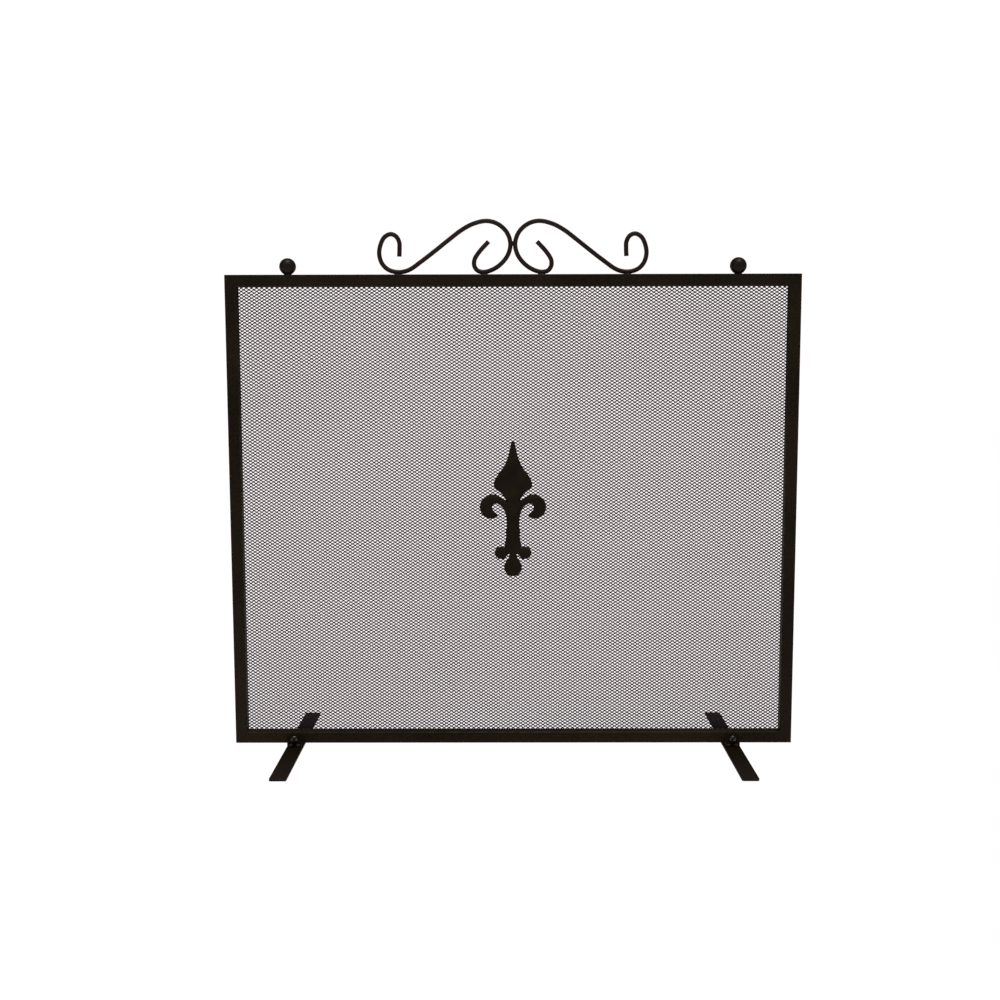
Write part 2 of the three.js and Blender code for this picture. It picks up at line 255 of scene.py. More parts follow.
class Graph:
    """A material's node tree while it is made."""

    def __init__(self, name):
        self.material = bpy.data.materials.new(name)
        self.material.use_nodes = True
        self.nodes = self.material.node_tree.nodes
        self.links = self.material.node_tree.links
        self.shader = self.nodes["Principled BSDF"]
        self.place = self.nodes.new("ShaderNodeTexCoord").outputs["Object"]

    def set(self, **values):
        for name, value in values.items():
            self.shader.inputs[name.replace("_", " ")].default_value = value

    def noise(self, scale, detail=2.0, roughness=0.5):
        """Noise whose features are about 1 / scale metres wide."""
        texture = self.nodes.new("ShaderNodeTexNoise")
        texture.inputs["Scale"].default_value = scale
        texture.inputs["Detail"].default_value = detail
        texture.inputs["Roughness"].default_value = roughness
        self.links.new(self.place, texture.inputs["Vector"])
        return texture.outputs["Fac"]

    def spread(self, value, low, high, to_low=0.0, to_high=1.0):
        """The value's stretch from low to high as to_low to to_high, kept inside them."""
        node = self.nodes.new("ShaderNodeMapRange")
        for name, number in zip(("From Min", "From Max", "To Min", "To Max"), (low, high, to_low, to_high)):
            node.inputs[name].default_value = number
        self.links.new(value, node.inputs["Value"])
        return node.outputs["Result"]

    def math(self, operation, first, second, clamp=True):
        node = self.nodes.new("ShaderNodeMath")
        node.operation = operation
        node.use_clamp = clamp
        for socket, value in zip(node.inputs, (first, second)):
            if isinstance(value, (int, float)):
                socket.default_value = value
            else:
                self.links.new(value, socket)
        return node.outputs["Value"]

    def distance(self, axis):
        """How far the point is from the middle of the part along one axis, in metres."""
        split = self.nodes.new("ShaderNodeSeparateXYZ")
        self.links.new(self.place, split.inputs["Vector"])
        return self.math("ABSOLUTE", split.outputs[axis], 0.0, clamp=False)

    def mean(self, first, second):
        return self.math("MULTIPLY", self.math("ADD", first, second, clamp=False), 0.5)

    def mix(self, share, first, second):
        """A colour between two colours, which are triples or sockets."""
        node = self.nodes.new("ShaderNodeMix")
        node.data_type = "RGBA"
        self.links.new(share, node.inputs["Factor"])
        for name, colour in (("A", first), ("B", second)):
            socket = next(s for s in node.inputs if s.name == name and s.type == "RGBA")
            if isinstance(colour, tuple):
                socket.default_value = (*colour, 1.0)
            else:
                self.links.new(colour, socket)
        return next(s for s in node.outputs if s.type == "RGBA")

    def worn(self):
        node = self.nodes.new("ShaderNodeAttribute")
        node.attribute_name = "worn"
        return node.outputs["Fac"]

    def bump(self, height, distance, strength, below=None):
        node = self.nodes.new("ShaderNodeBump")
        node.inputs["Distance"].default_value = distance
        node.inputs["Strength"].default_value = strength
        self.links.new(height, node.inputs["Height"])
        if below:
            self.links.new(below, node.inputs["Normal"])
        return node.outputs["Normal"]

    def feed(self, name, value):
        self.links.new(value, self.shader.inputs[name])


def powder_coat(name, dark, light, rubbed, gloss=0.5, shine=0.07, painted_lit_end_tone=None):
    """Warm black powder coat: fine orange peel, cloudy tone, a little sheen where edges are rubbed.

    The end tone, when given, is what the far ends of a foot fade to: painted light where they stand clear
    of the screen, leaving painted shade near it.
    """
    graph = Graph(name)
    drift = graph.spread(graph.noise(7, 2), 0.38, 0.64)
    clouds = graph.spread(graph.noise(300, 4, 0.7), 0.38, 0.62)
    specks = graph.spread(graph.noise(1600, 2), 0.45, 0.75)
    tone = graph.mix(graph.mean(drift, clouds), dark, light)
    # painted shade near the screen and painted light at the far ends: the tone fades to the end tone from 4
    # to 14 cm along Y
    if painted_lit_end_tone:
        tone = graph.mix(graph.spread(graph.distance("Y"), 0.04, 0.14), tone, painted_lit_end_tone)
    rub = graph.math("MULTIPLY", graph.worn(), graph.spread(graph.noise(95, 5, 0.65), 0.42, 0.66))
    graph.feed("Base Color", graph.mix(rub, tone, rubbed))
    rough = graph.spread(specks, 0, 1, gloss - 0.05, gloss + 0.07)
    graph.feed("Roughness", graph.math("SUBTRACT", rough, graph.math("MULTIPLY", rub, 0.12)))
    peel = graph.bump(graph.noise(620, 3, 0.55), 0.00012, 0.35)
    graph.feed("Normal", graph.bump(graph.noise(110, 2), 0.0003, 0.2, peel))
    graph.set(Specular_IOR_Level=shine, Metallic=0.0)
    return graph.material


def mesh_paint(name):
    """Thin matte paint over the expanded sheet, browner where it is thin."""
    graph = Graph(name)
    thin = graph.spread(graph.noise(260, 3, 0.6), 0.38, 0.66)
    tone = graph.mix(thin, (0.009, 0.0046, 0.0050), (0.028, 0.0140, 0.0155))
    drift = graph.spread(graph.noise(9, 2), 0.35, 0.7)
    graph.feed("Base Color", graph.mix(drift, tone, (0.019, 0.0100, 0.0110)))
    graph.feed("Roughness", graph.spread(graph.noise(500, 2), 0.3, 0.7, 0.5, 0.72))
    graph.feed("Normal", graph.bump(graph.noise(1500, 2), 0.00008, 0.3))
    graph.set(Specular_IOR_Level=0.1, Metallic=0.0)
    return graph.material


def cast_paint(name):
    """Matte paint over a sand casting: grains, shallow pits, and faintly lighter high edges."""
    graph = Graph(name)
    clouds = graph.spread(graph.noise(45, 4, 0.6), 0.35, 0.7)
    tone = graph.mix(clouds, (0.0058, 0.0036, 0.0013), (0.0120, 0.0074, 0.0030))
    rub = graph.math("MULTIPLY", graph.worn(), graph.spread(graph.noise(140, 5, 0.65), 0.45, 0.68))
    graph.feed("Base Color", graph.mix(rub, tone, (0.024, 0.017, 0.011)))
    graph.feed("Roughness", graph.spread(graph.noise(700, 3), 0.3, 0.7, 0.52, 0.74))
    grains = graph.bump(graph.noise(950, 3, 0.65), 0.00025, 0.45)
    pits = graph.spread(graph.noise(230, 3, 0.6), 0.3, 0.62)
    graph.feed("Normal", graph.bump(pits, 0.0003, 0.35, grains))
    graph.set(Specular_IOR_Level=0.07, Metallic=0.0)
    return graph.material


def black_oxide(name):
    """Black-oxide steel of the screws: dark, glossy, with a faint turned grain."""
    graph = Graph(name)
    clouds = graph.spread(graph.noise(400, 3, 0.6), 0.35, 0.7)
    tone = graph.mix(clouds, (0.028, 0.026, 0.024), (0.055, 0.051, 0.047))
    rub = graph.math("MULTIPLY", graph.worn(), graph.spread(graph.noise(900, 3), 0.4, 0.65))
    graph.feed("Base Color", graph.mix(rub, tone, (0.16, 0.15, 0.14)))
    graph.feed("Roughness", graph.spread(graph.noise(1200, 2), 0.3, 0.7, 0.16, 0.26))
    graph.feed("Normal", graph.bump(graph.noise(2200, 2), 0.00003, 0.3))
    graph.set(Metallic=0.9)
    return graph.material


def floor_paper(name):
    """The studio's floor: a white light table, as bright as the backdrop, which takes no shadow."""
    graph = Graph(name)
    tone = graph.mix(graph.noise(2.0, 2), (0.010, 0.010, 0.010), (0.014, 0.014, 0.014))
    graph.feed("Base Color", tone)
    graph.set(Roughness=0.9, Specular_IOR_Level=0.0)
    graph.set(Emission_Color=BACKDROP["colour"], Emission_Strength=BACKDROP["glow"])
    return graph.material


frame_coat = powder_coat(
    "frame_coat", (0.0040, 0.0023, 0.0006), (0.0148, 0.0091, 0.0036), (0.026, 0.018, 0.011)
)
# the feet: the frame's coat made darker as painted shade on their tops, with far ends lighter as painted
# light
foot_coat_painted_shade = powder_coat(
    "foot_coat_painted_shade", (0.0042, 0.0026, 0.0008), (0.0092, 0.0058, 0.0024), (0.026, 0.018, 0.012),
    gloss=0.6, shine=0.03, painted_lit_end_tone=(0.0128, 0.0086, 0.0066),
)
rod_coat = powder_coat(
    "rod_coat", (0.0080, 0.0049, 0.0030), (0.0160, 0.0100, 0.0070), (0.030, 0.021, 0.016),
    gloss=0.42, shine=0.1,
)
ball_coat = powder_coat(
    "ball_coat", (0.0042, 0.0019, 0.0004), (0.0096, 0.0049, 0.0016), (0.030, 0.020, 0.014),
    gloss=0.42, shine=0.11,
)
strand_paint = mesh_paint("strand_paint")
casting = cast_paint("casting_paint")
screw_steel = black_oxide("screw_steel")


# ---------------------------------------------------------------- frame


frame_low = Vector((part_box("left_stile")[0].x, *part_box("bottom_rail")[0].yz))
frame_high = Vector((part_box("right_stile")[1].x, *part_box("top_rail")[1].yz))
rail_top = frame_high.z
tube_size = frame_high.y - frame_low.y
tube_middle_y = (frame_high.y + frame_low.y) / 2


def mitred_tube(start, along, outward, length):
    """A square tube with rounded corners, cut at 45 degrees at both ends.

    start is the outer corner where it begins, and outward points away from the opening.
    """
    start, along, outward = Vector(start), Vector(along), Vector(outward)
    side = along.cross(outward)
    half = tube_size / 2
    steps = CORNER["steps"]
    outline = rounded_rectangle((0, 0), (tube_size, tube_size), [CORNER["radius"]] * 4, steps)
    worn = [math.sin(math.pi * i / steps) for _ in range(4) for i in range(steps + 1)]
    line = start - outward * half
    rings = []
    cut_end, past_chamfer = (SEAM["chamfer"], 0.0), (0.0, SEAM["length"])
    for end, (shrink, back) in ((0, cut_end), (0, past_chamfer), (1, past_chamfer), (1, cut_end)):
        flat = inset(outline, shrink)
        ring = []
        for u, v in flat:
            cut = half - u + back
            place = cut if end == 0 else length - cut
            ring.append(line + along * place + outward * u + side * v)
        rings.append((ring, worn))
    skin = Skin()
    skin.loft(rings)
    return skin


def make_frame():
    left, right = frame_low.x, frame_high.x
    low, high = frame_low.z, frame_high.z
    width, height = right - left, high - low
    y = tube_middle_y
    tubes = {
        "top_rail": ((left, y, high), (1, 0, 0), (0, 0, 1), width),
        "bottom_rail": ((left, y, low), (1, 0, 0), (0, 0, -1), width),
        "left_stile": ((left, y, low), (0, 0, 1), (-1, 0, 0), height),
        "right_stile": ((right, y, low), (0, 0, 1), (1, 0, 0), height),
    }
    for node, (start, along, outward, length) in tubes.items():
        skin = mitred_tube(start, along, outward, length)
        piece(f"{node}_tube", skin, frame_coat, [node])


def corner_welds():
    """Inside each corner of the frame, a small fillet where the weld wasn't ground away."""
    weld = WELD["corner"]
    inner_x = frame_high.x - tube_size
    inner_z = (frame_low.z + tube_size, frame_high.z - tube_size)
    for column, x in (("left", -inner_x), ("right", inner_x)):
        for row, z in zip(("bottom", "top"), inner_z):
            skin = Skin()
            near = frame_low.y + weld["from_edge"]
            far = frame_high.y - weld["from_edge"]
            skin.loft(bead((x, near, z), (x, far, z), weld["radius"], 4, seed=x * 7 + z))
            piece(f"corner_weld_{row}_{column}", skin, frame_coat)


# ---------------------------------------------------------------- expanded metal


def lattice_corners():
    """The corners of every opening of the expanded sheet, as (x, z, tilt), by row and column.

    Each opening has six corners: two points at the ends of its long way, and two flats above and below.
    """
    long, short = LATTICE["long"], LATTICE["short"]
    width, height = LATTICE["opening"]
    flat = LATTICE["flat"]
    opening = np.array([
        (width / 2, 0), (flat / 2, height / 2), (-flat / 2, height / 2),
        (-width / 2, 0), (-flat / 2, -height / 2), (flat / 2, -height / 2),
    ])
    low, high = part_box("mesh_panel")
    centre = (low + high) / 2
    columns = int((high.x - low.x) / long) + 3
    rows = 2 * (int((high.z - low.z) / short) + 3)
    corners = np.zeros((rows, columns, 6, 3))
    for row in range(rows):
        z = centre.z + (row - rows // 2) * short / 2
        x = centre.x + (np.arange(columns) - columns / 2 + 0.5 * (row % 2)) * long
        corners[row, :, :, 0] = x[:, None] + opening[None, :, 0]
        corners[row, :, :, 1] = z + opening[None, :, 1]
        corners[row, :, :, 2] = opening[None, :, 1]
    return corners


def lattice_faces(rows, columns):
    """The strands between the openings, and the joints between the strands, as rows of corner numbers."""
    right, up_right, up_left, left, down_left, down_right = range(6)

    def number(row, column, corner):
        return (row * columns + column) * 6 + corner

    strands, joints = [], []
    for row in range(1, rows - 1):
        for column in range(1, columns - 1):
            shift = column + (row % 2)
            up = (row + 1, shift)
            down = (row - 1, shift)
            strands.append((
                number(row, column, right), number(*up, down_left),
                number(*up, left), number(row, column, up_right),
            ))
            strands.append((
                number(*down, left), number(*down, up_left),
                number(row, column, right), number(row, column, down_right),
            ))
            joints.append((
                number(row, column, right), number(*down, up_left), number(*down, up_right),
                number(row, column + 1, left), number(*up, down_right), number(*up, down_left),
            ))
    return np.array(strands), np.array(joints)


def inside_panel(corners, faces):
    """Which faces lie inside the sheet's outline."""
    low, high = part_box("mesh_panel")
    x, z = corners[faces, 0], corners[faces, 1]
    return ((x > low.x) & (x < high.x) & (z > low.z) & (z < high.z)).all(1)


def sheet_tile(corners, groups):
    """One closed solid from plan faces: a front, a back, and a wall along every free edge."""
    used = np.unique(np.concatenate([group.ravel() for group in groups]))
    renumber = np.full(len(corners), -1)
    renumber[used] = np.arange(len(used))
    x, z, tilt = corners[used].T
    lean = LATTICE["twist"] * tilt
    low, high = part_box("mesh_panel")
    y = (low.y + high.y) / 2
    half = LATTICE["thickness"] / 2
    front = np.stack([x, y - half + lean, z], 1)
    back = np.stack([x, y + half + lean, z], 1)
    count = len(used)
    faces, edges = [], []
    for group in groups:
        own = renumber[group]
        faces.extend(own.tolist())
        faces.extend((own[:, ::-1] + count).tolist())
        edges.append(np.stack([own, np.roll(own, -1, 1)], 2).reshape(-1, 2))
    edges = np.concatenate(edges)
    keys = edges[:, 0] * count + edges[:, 1]
    twins = edges[:, 1] * count + edges[:, 0]
    free = edges[~np.isin(keys, twins)]
    walls = np.stack([free[:, 1], free[:, 0], free[:, 0] + count, free[:, 1] + count], 1)
    faces.extend(walls.tolist())
    skin = Skin()
    skin.points = np.concatenate([front, back]).tolist()
    skin.worn = [0.0] * (2 * count)
    skin.faces = faces
    return skin


def make_mesh():
    corners = lattice_corners()
    strands, joints = lattice_faces(*corners.shape[:2])
    corners = corners.reshape(-1, 3)
    strands = strands[inside_panel(corners, strands)]
    joints = joints[inside_panel(corners, joints)]
    low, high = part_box("mesh_panel")
    across, up = LATTICE["tiles"]
    for column in range(across):
        for row in range(up):
            groups = []
            for faces in (strands, joints):
                x = (corners[faces, 0].mean(1) - low.x) / (high.x - low.x) * across
                z = (corners[faces, 1].mean(1) - low.z) / (high.z - low.z) * up
                groups.append(faces[(x.astype(int) == column) & (z.astype(int) == row)])
            skin = sheet_tile(corners, groups)
            name = f"expanded_mesh_{row + 1}_{column + 1}"
            piece(name, skin, strand_paint, ["mesh_panel"], sharp_degrees=30, tidy_normals=False)


# ---------------------------------------------------------------- strips and their screws


def upright(x, z, y):
    """A plate parallel to the screen: its outline is drawn in X and Z."""
    return (x, y, z)


def level(x, y, z):
    return (x, y, z)


def make_strips():
    for side in ("top", "bottom", "left", "right"):
        node = f"strip_{side}"
        low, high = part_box(node)
        centre = ((low.x + high.x) / 2, (low.z + high.z) / 2)
        size = (high.x - low.x, high.z - low.z)
        outline = rounded_rectangle(centre, size, [STRIP["corner"]] * 4, 4)
        skin = Skin()
        skin.loft(slab(outline, low.y, high.y, STRIP["edge"], upright))
        piece(f"{node}_bar", skin, frame_coat, [node])


def cross_recess(radius):
    """The outline of a cross recess in a head of this radius, anticlockwise, its inner corners eased."""
    reach, half, ease = radius * 0.6, radius * 0.14, radius * 0.2
    arm = [(reach, -half), (reach, half), (ease, half), (half, ease)]
    quarters = [[(x, y), (-y, x), (-x, -y), (y, -x)] for x, y in arm]
    return np.array([corner[i] for i in range(4) for corner in quarters])


def hexagon_recess(across_flats):
    return circle(across_flats / math.sqrt(3), 6)


def finer(outline, step):
    """The outline with its edges cut into lengths of at most step."""
    points = []
    for start, end in zip(outline, np.roll(outline, -1, 0)):
        count = math.ceil(np.linalg.norm(end - start) / step)
        points.extend(start + (end - start) * i / count for i in range(count))
    return np.array(points)


# From the rim of a screw head to the mouth of its recess: (share of the way, how rubbed).
OVER_THE_DOME = [
    (0, 0.9), (0.03, 0.6), (0.1, 0.3), (0.22, 0.1), (0.4, 0), (0.6, 0), (0.8, 0.1), (0.95, 0.7),
]


def screw_head(centre, axis, radius, height, recess, depth, spin):
    """Rings of a domed head with a recess. Its underside is at centre, and its dome points along axis."""
    mouth = finer(recess, radius / 14)
    rim = unit(mouth) * radius
    side = height * 0.26

    def dome(points):
        share = np.clip((points**2).sum(1) / radius**2, 0, 1)
        return side + (height - side) * np.sqrt(1 - share)

    def flat_at(height):
        return np.full(len(rim), height)

    levels = [(rim * 0.97, flat_at(0), 0.2), (rim, flat_at(side * 0.5), 0.7)]
    for share, worn in OVER_THE_DOME:
        flat = rim + (mouth - rim) * share
        levels.append((flat, dome(flat), worn))
    levels.append((mouth, dome(mouth) - height * 0.05, 0.8))
    levels.append((mouth * 0.95, flat_at(dome(mouth).min() - depth), 0.0))
    turn = Vector((0, 0, 1)).rotation_difference(Vector(axis)).to_matrix() @ Matrix.Rotation(spin, 3, "Z")
    rings = []
    for flat, heights, worn in levels:
        ring = [Vector(centre) + turn @ Vector((x, y, z)) for (x, y), z in zip(flat, heights)]
        rings.append((ring, worn))
    return rings


def inside(outline, points):
    """Which points lie inside a closed outline."""
    x, y = points[:, 0:1], points[:, 1:2]
    x1, y1 = outline[:, 0], outline[:, 1]
    x2, y2 = np.roll(x1, -1), np.roll(y1, -1)
    spans = (y1 > y) != (y2 > y)
    rise = np.where(y2 == y1, 1e-12, y2 - y1)
    crossing = spans & (x < (x2 - x1) * (y - y1) / rise + x1)
    return crossing.sum(1) % 2 == 1


def cross_head(node, seat, spin):
    """The head of a screw on the back of the screen, from the height of what it clamps."""
    low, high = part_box(node)
    centre = ((low.x + high.x) / 2, seat, (low.z + high.z) / 2)
    radius, height = (high.x - low.x) / 2, high.y - seat
    skin = Skin()
    skin.loft(screw_head(centre, (0, 1, 0), radius, height, cross_recess(radius), height * 0.5, spin))
    piece(f"{node}_head", skin, screw_steel, [node], sharp_degrees=35)


def make_strip_screws():
    counts = {"top": 5, "bottom": 5, "left": 4, "right": 4}
    places = [f"{side}_{i}" for side, count in counts.items() for i in range(1, count + 1)]
    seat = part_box("strip_top")[1].y + SEAT
    for number, place in enumerate(places):
        cross_head(f"strip_screw_{place}", seat, spin=number * 1.9)


# ---------------------------------------------------------------- scrolls

# One scroll's centre line, from its outer hook to its inner hook: (distance from the middle, height above
# the top rail), in millimetres.
SCROLL_BENDS = [
    (150, 23.6), (149.6, 33.2), (149.9, 42.2), (154, 49.8), (161, 52.8), (169, 49.2), (174.4, 39.7),
    (176.5, 27), (173, 14.8), (164.7, 6.6), (151.7, 3.3), (138, 5.9), (119.4, 18.3), (99.5, 33.4),
    (84.5, 45.2), (66.6, 58.5), (50.9, 66.4), (34.1, 69.6), (19.5, 65.5), (7.8, 54.7), (3.15, 40.4),
    (6, 26.5), (14.5, 14.8), (25.4, 7), (38, 3.3), (46.6, 5.2), (50.8, 11.2), (50.6, 19.2),
    (44.5, 29.2), (31.9, 42.9),
]
SCROLL_RESTS = (151.7, 38.0)
SCROLL_MEETING = 40.4


def hermite(first, second, start, end, steps):
    """Points from first up to second, leaving along start and arriving along end."""
    t = (np.arange(steps) / steps)[:, None]
    cubic = (2 * first - 2 * second + start + end) * t**3
    square = (-3 * first + 3 * second - 2 * start - end) * t**2
    return cubic + square + start * t + first


def centripetal(points, steps):
    """A centripetal Catmull-Rom curve through the points, with as many steps between each two."""
    ends = np.vstack([2 * points[0] - points[1], points, 2 * points[-1] - points[-2]])
    gaps = np.linalg.norm(np.diff(ends, axis=0), axis=1) ** 0.5
    curve = []
    for i in range(1, len(ends) - 2):
        p0, p1, p2, p3 = ends[i - 1 : i + 3]
        d0, d1, d2 = gaps[i - 1 : i + 2]
        start = ((p1 - p0) / d0 - (p2 - p0) / (d0 + d1) + (p2 - p1) / d1) * d1
        end = ((p2 - p1) / d1 - (p3 - p1) / (d1 + d2) + (p3 - p2) / d2) * d1
        curve.append(hermite(p1, p2, start, end, steps))
    return np.vstack([*curve, points[-1]])


def swept_rod(path):
    """Rings of a round rod along a path in X and Z, with its cut ends eased."""
    tangents = unit(np.gradient(path, axis=0))
    normals = np.stack([-tangents[:, 1], tangents[:, 0]], 1)
    length = np.concatenate([[0], np.cumsum(np.linalg.norm(np.diff(path, axis=0), axis=1))])
    ease = ROD["end_round"]
    rings = []

    def ring_at(distance, radius, worn):
        point = [np.interp(distance, length, path[:, k]) for k in (0, 1)]
        normal = [np.interp(distance, length, normals[:, k]) for k in (0, 1)]
        ring = []
        for out, depth in circle(radius, ROD["sides"]):
            ring.append((point[0] + normal[0] * out, tube_middle_y + depth, point[1] + normal[1] * out))
        rings.append((ring, worn))

    def eased_ring(angle, far):
        back = ease * (1 - math.cos(angle))
        radius = ROD["radius"] - ease * (1 - math.sin(angle))
        ring_at(length[-1] - back if far else back, radius, math.sin(2 * angle))

    quarter = [math.pi / 2 * i / 3 for i in range(4)]
    for angle in quarter:
        eased_ring(angle, far=False)
    for distance in length[(length > 2 * ease) & (length < length[-1] - 2 * ease)]:
        ring_at(distance, ROD["radius"], 0.12)
    for angle in reversed(quarter):
        eased_ring(angle, far=True)
    return rings


def make_scrolls():
    bends = np.array(SCROLL_BENDS) * MM + (0, rail_top)
    path = centripetal(bends, ROD["steps_per_bend"])
    for side, sign in (("left", -1), ("right", 1)):
        skin = Skin()
        skin.loft(swept_rod(path * (sign, 1)))
        piece(f"scroll_{side}_rod", skin, rod_coat, [f"scroll_{side}"])


def scroll_welds():
    """Beads in front of and behind each place where a scroll rests on the rail, and where the two meet."""
    rest, meeting = WELD["rest"], WELD["meeting"]
    for side, sign in (("left", -1), ("right", 1)):
        for place, distance in zip(("outer", "inner"), SCROLL_RESTS):
            skin = Skin()
            for face in (-1, 1):
                x = sign * distance * MM
                y = tube_middle_y + face * rest["beside"]
                z = rail_top + rest["above"]
                start, end = (x - rest["reach"], y, z), (x + rest["reach"], y, z)
                skin.loft(bead(start, end, rest["radius"], 5, seed=x * 31 + face))
            piece(f"scroll_weld_{side}_{place}", skin, rod_coat)
    skin = Skin()
    for face in (-1, 1):
        y = tube_middle_y + face * meeting["beside"]
        z = rail_top + SCROLL_MEETING * MM
        start, end = (0, y, z - meeting["reach"]), (0, y, z + meeting["reach"])
        skin.loft(bead(start, end, meeting["radius"], 3, seed=5.0 + face))
    piece("scroll_weld_middle", skin, rod_coat)


# ---------------------------------------------------------------- ball finials

# The weld round a ball's neck, from the rail up: (radius, height above the rail), in millimetres.
NECK_WELD = [(5.4, -0.25), (5.5, 0.05), (5.1, 0.35), (4.8, 0.7), (4.9, 1.1), (5.1, 1.5), (4.6, 1.8)]
BALL_SEAT = 4.6 * MM


def neck_weld(foot):
    """Rings of the weld, a little lumpy, round the point where the neck stands on the rail."""
    profile = [(radius * MM, height * MM) for radius, height in NECK_WELD]
    rings = []
    for ring, worn in turned(profile, foot, (0, 0, 1), 40, [0.1] * len(profile)):
        moved = []
        for point in ring:
            out = (point - foot) * Vector((1, 1, 0))
            angle = math.atan2(out.y, out.x)
            swell = 1 + 0.035 * math.sin(9 * angle + 40 * foot.x) + 0.04 * noise.noise(point * 500)
            moved.append(foot + out * swell + Vector((0, 0, point.z - foot.z)))
        rings.append((moved, worn))
    return rings


def make_finials():
    for side in ("left", "right"):
        low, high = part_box(f"ball_finial_{side}")
        radius = (high.x - low.x) / 2
        centre = Vector(((low.x + high.x) / 2, (low.y + high.y) / 2, high.z - radius))
        angles = np.linspace(math.asin(BALL_SEAT / radius), math.pi, 35)
        profile = [(radius * math.sin(angle), -radius * math.cos(angle)) for angle in angles]
        skin = Skin()
        skin.loft(turned(profile, centre, (0, 0, 1), 48, [0.1] * len(profile)))
        piece(f"ball_{side}", skin, ball_coat, [f"ball_finial_{side}"])
        skin = Skin()
        skin.loft(neck_weld(Vector((centre.x, centre.y, rail_top))))
        piece(f"finial_neck_{side}", skin, rod_coat, [f"finial_pin_{side}"])


# ---------------------------------------------------------------- fleur-de-lis


def arc(x, y, radius, start, end, steps):
    angles = np.radians(np.linspace(start, end, steps + 1))
    return np.stack([x + radius * np.cos(angles), y + radius * np.sin(angles)], 1)


def spline(points, steps):
    """A uniform Catmull-Rom curve through the points."""
    ends = np.vstack([points[0], points, points[-1]])
    curve = []
    for i in range(1, len(ends) - 2):
        p0, p1, p2, p3 = ends[i - 1 : i + 3]
        curve.append(hermite(p1, p2, (p2 - p0) / 2, (p3 - p1) / 2, steps))
    return np.vstack([*curve, points[-1]])


def emblem_outline():
    """The outline, anticlockwise, in millimetres: (distance from the middle, height above the bottom)."""
    notch, armpit = (4.8, 31.6), (8.8, 102.4)
    stem_side = [(10.8, 45.6), (9.4, 54), (8.5, 66), (8.8, 77.4), (10.6, 87), (14.2, 94.3), (19, 98.5)]
    inside_curl = [(21.6, 99.6), (25.4, 99.3), (27.9, 96.3), (27.6, 91.5), (24.4, 87.6), (20.8, 84.1)]
    curl_back = [
        (20.6, 82.3), (24, 79.9), (32.4, 79.4), (40.4, 83.3), (44.7, 91.9), (43.6, 101.5), (37.4, 109.1),
    ]
    shoulder = [(34.6, 110.9), (28, 112.2), (20, 109.8), (13.8, 106.1), armpit]
    spear_side = [(26, 126), (23.7, 133.6), (18.6, 141.2), (11.5, 151.4), (6.8, 163), (3.8, 175)]
    half = np.vstack([
        arc(0, 12.1, 12.1, -90, 40, 16),
        spline([(7.2, 23), (5.3, 27), notch], 3),
        arc(16.4, 32.1, 8.5, -140, 122, 24),
        spline(stem_side, 4),
        spline(inside_curl, 4),
        spline(curl_back, 5),
        spline(shoulder, 4),
        spline([(12.2, 109.4), (17, 114.6), (22.6, 118.5), (25.3, 121.2)], 3),
        spline(spear_side, 5),
        spline([(2.9, 180.4), (1.8, 182.6), (0, 183.2)], 3),
    ])
    left = half[1:-1][::-1] * (-1, 1)
    return np.vstack([half, left])


def distance_to(outline, points):
    """How far each point is from a closed outline."""
    start = outline
    step = np.roll(outline, -1, 0) - outline
    offset = points[:, None] - start[None]
    share = (offset * step).sum(2) / np.maximum((step**2).sum(1), 1e-12)
    nearest = offset - step * np.clip(share, 0, 1)[..., None]
    return np.sqrt((nearest**2).sum(2)).min(1)


def crown(distance):
    """How high the casting's face is at a distance from its edge: a rounded shoulder, then a ridge."""
    near = np.clip(distance / 4.5, 0, 1)
    far = np.clip(distance / 17, 0, 1)
    return 0.58 * np.sqrt(1 - (1 - near) ** 2) + 0.42 * far


# Where the casting's face gets points: rows along its edge, each (distance from it, one in how many points
# of the outline), then a staggered grid. In millimetres.
EDGE_ROWS = ((0.35, 1), (0.9, 1), (1.7, 2), (2.7, 2))
FACE_GRID = {"step": 1.15, "start": (0.37, 0.41), "from_edge": 3.3}


def face_points(outline):
    """The outline, then the points inside it that carry the relief."""
    scatter = [outline]
    for distance, every in EDGE_ROWS:
        moved = inset(outline, distance)
        keep = inside(outline, moved) & (distance_to(outline, moved) > distance * 0.96)
        scatter.append(moved[keep][::every])
    step = FACE_GRID["step"]
    low, high = outline.min(0) + FACE_GRID["start"], outline.max(0)
    across, along = np.arange(low[0], high[0], step), np.arange(low[1], high[1], step)
    grid = np.array([(x + (i % 2) * step / 2, y) for i, y in enumerate(along) for x in across])
    grid = grid[inside(outline, grid)]
    scatter.append(grid[distance_to(outline, grid) > FACE_GRID["from_edge"]])
    return np.vstack(scatter)


def make_emblem():
    outline = emblem_outline()
    count = len(outline)
    edges = [(i, (i + 1) % count) for i in range(count)]
    plan = [Vector(point) for point in face_points(outline)]
    points, _, faces, _, _, _ = geometry.delaunay_2d_cdt(plan, edges, [], 1, 1e-6)
    flat = np.array([tuple(point) for point in points])
    distance = distance_to(outline, flat)
    distance[:count] = 0.0
    lumps = np.array([noise.noise(Vector((x, y, 3.0)) * 0.35) for x, y in flat]) * np.clip(distance, 0, 1)
    wall, height = EMBLEM["wall"], EMBLEM["height"]
    depth = wall + (height - wall) * np.clip(crown(distance) + 0.012 * lumps, 0, 1)
    worn = np.clip(1 - np.abs(distance - 0.7) / 0.8, 0, 1)
    box_low, box_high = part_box("fleur_de_lis")
    back, bottom = box_high.y, box_low.z
    skin = Skin()
    face = [(x * MM, back - d, bottom + y * MM) for (x, y), d in zip(flat, depth)]
    top = skin.ring(face, list(worn))
    for corners in faces:
        skin.faces.append(tuple(top[i] for i in corners))
    rim = skin.ring([(x * MM, back, bottom + y * MM) for x, y in flat[:count]], 0.2)
    skin.bridge(rim, top[:count])
    skin.faces.append(tuple(reversed(rim)))
    piece("fleur_casting", skin, casting, ["fleur_de_lis"], sharp_degrees=42)


